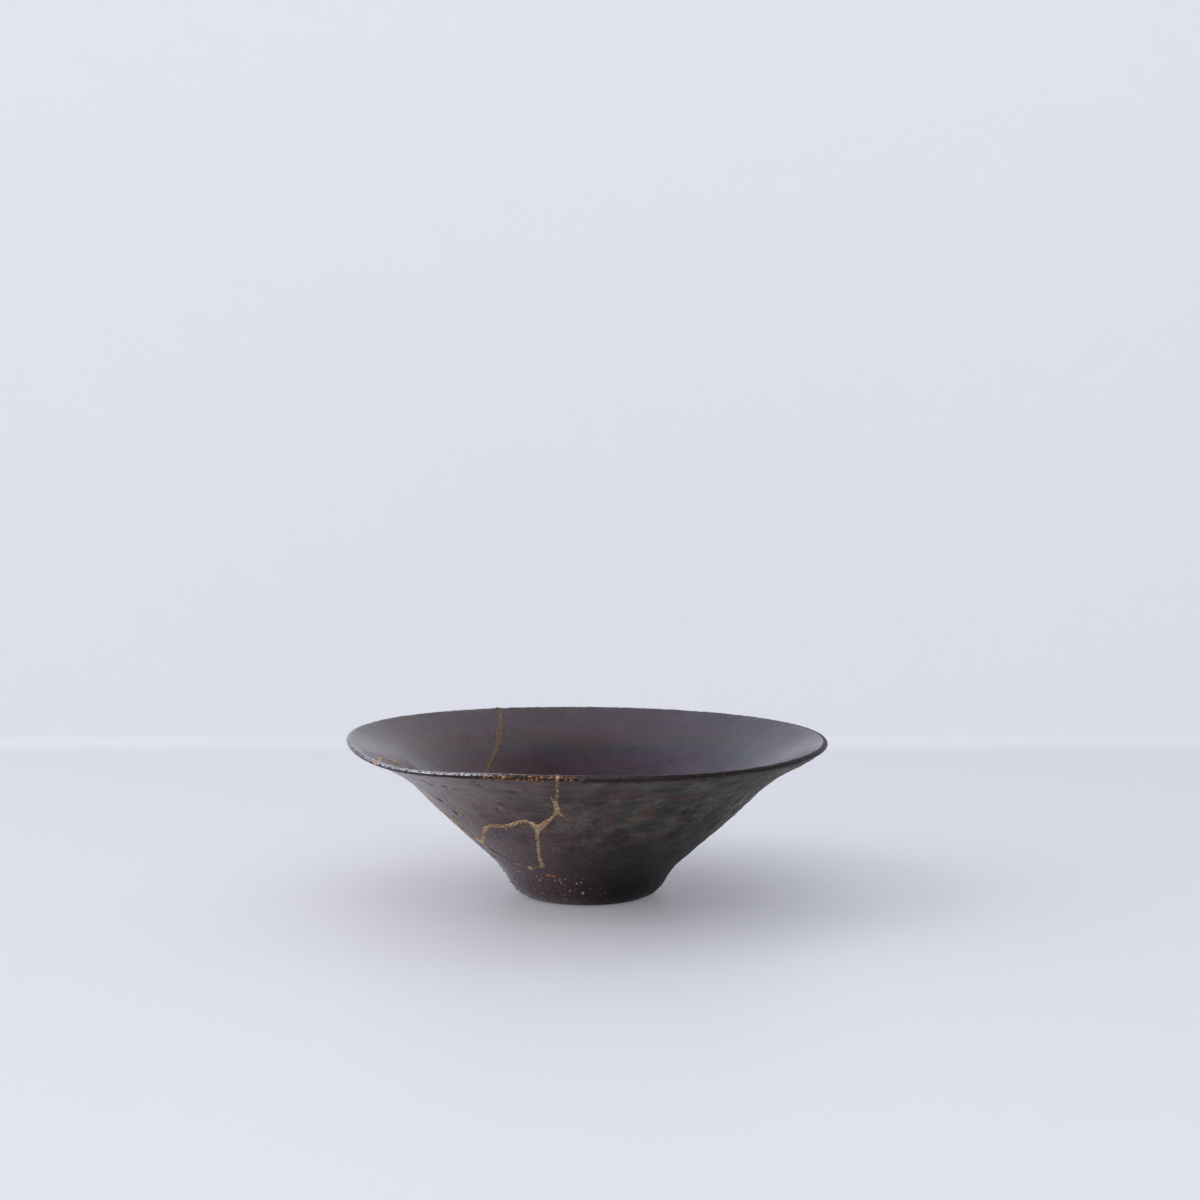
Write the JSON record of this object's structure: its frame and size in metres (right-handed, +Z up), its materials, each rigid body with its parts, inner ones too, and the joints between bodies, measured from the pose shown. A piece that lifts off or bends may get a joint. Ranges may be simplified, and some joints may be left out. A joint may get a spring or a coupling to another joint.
{
  "type": "kintsugi bowl",
  "caption": "Wide shallow thrown stoneware bowl with a flared thin rim and a small foot, broken and mended with raised gold lacquer joints.",
  "frame": {"origin": "middle of the underside of the foot, on the surface that the bowl stands on", "axes": "+Z up along the bowl's axis, -Y towards the front with the mended sherds, +X to the right seen from the front"},
  "size_m": [0.1499, 0.15, 0.0506],
  "materials": {
    "dark_glazed_stoneware": "satin dark iron glaze inside, dry pitted charcoal outside",
    "gold_lacquer": "matt powdered gold on lacquer"
  },
  "bodies": {
    "root": {"bowl_body": "dark_glazed_stoneware", "rim_sherd": "dark_glazed_stoneware", "wall_sherd": "dark_glazed_stoneware", "gold_seam_front": "gold_lacquer", "gold_seam_back": "gold_lacquer"}
  },
  "joints": []
}
